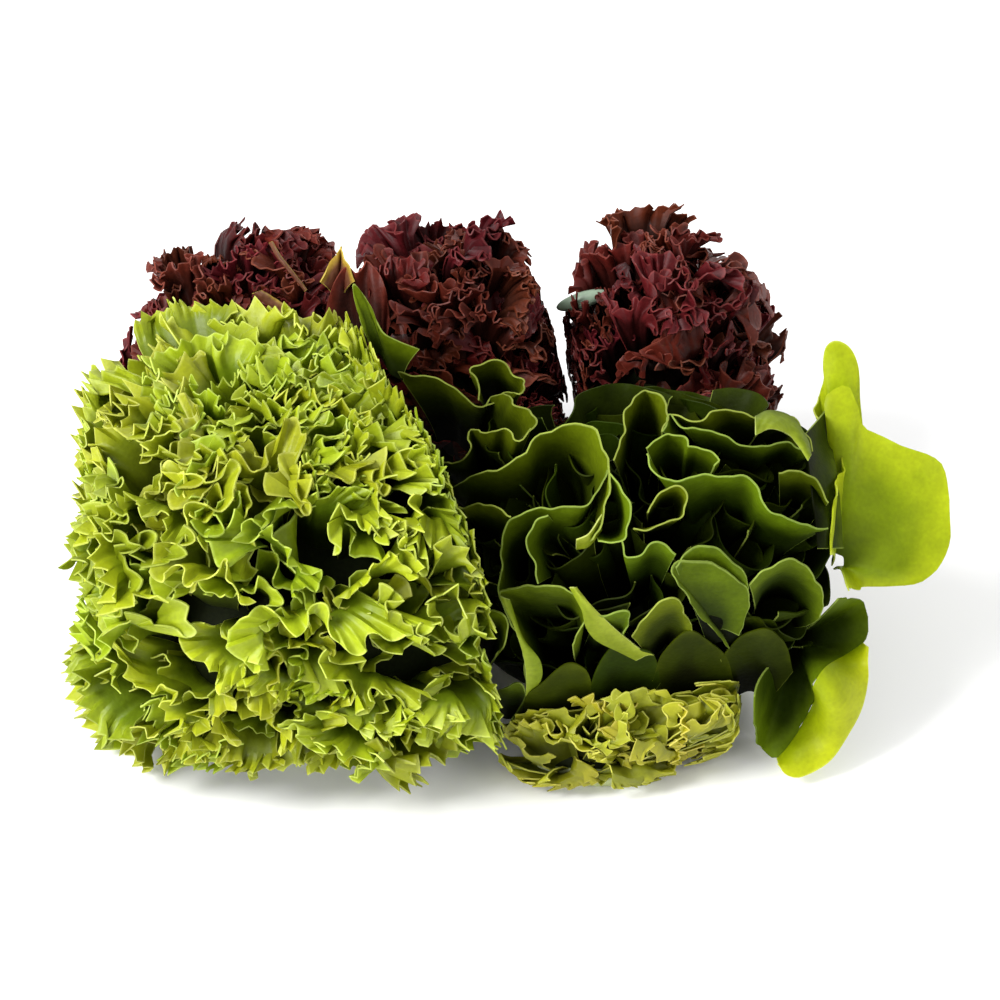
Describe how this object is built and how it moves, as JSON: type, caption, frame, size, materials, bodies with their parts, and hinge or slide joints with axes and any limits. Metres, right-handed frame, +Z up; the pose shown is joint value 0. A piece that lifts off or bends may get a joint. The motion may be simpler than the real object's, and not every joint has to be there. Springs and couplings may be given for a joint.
{
  "type": "bunch of lettuces",
  "caption": "Bunch of lettuces packed side by side: frilly green, smooth green with rolled leaves, and frilly red behind.",
  "frame": {"origin": "on the floor, under the middle of the whole bunch", "axes": "+Z up along the heads, +Y towards the red heads at the back, +X to the right as seen from the front"},
  "size_m": [0.2888, 0.1982, 0.1329],
  "materials": {
    "frilly_green": "satin",
    "smooth_green": "satin",
    "deep_red": "satin"
  },
  "bodies": {
    "root": {"frilly_green_head": "frilly_green", "frilly_green_skirt": "frilly_green", "smooth_green_head": "smooth_green", "frilly_red_left": "deep_red", "frilly_red_middle": "deep_red", "frilly_red_right": "deep_red"}
  },
  "joints": []
}
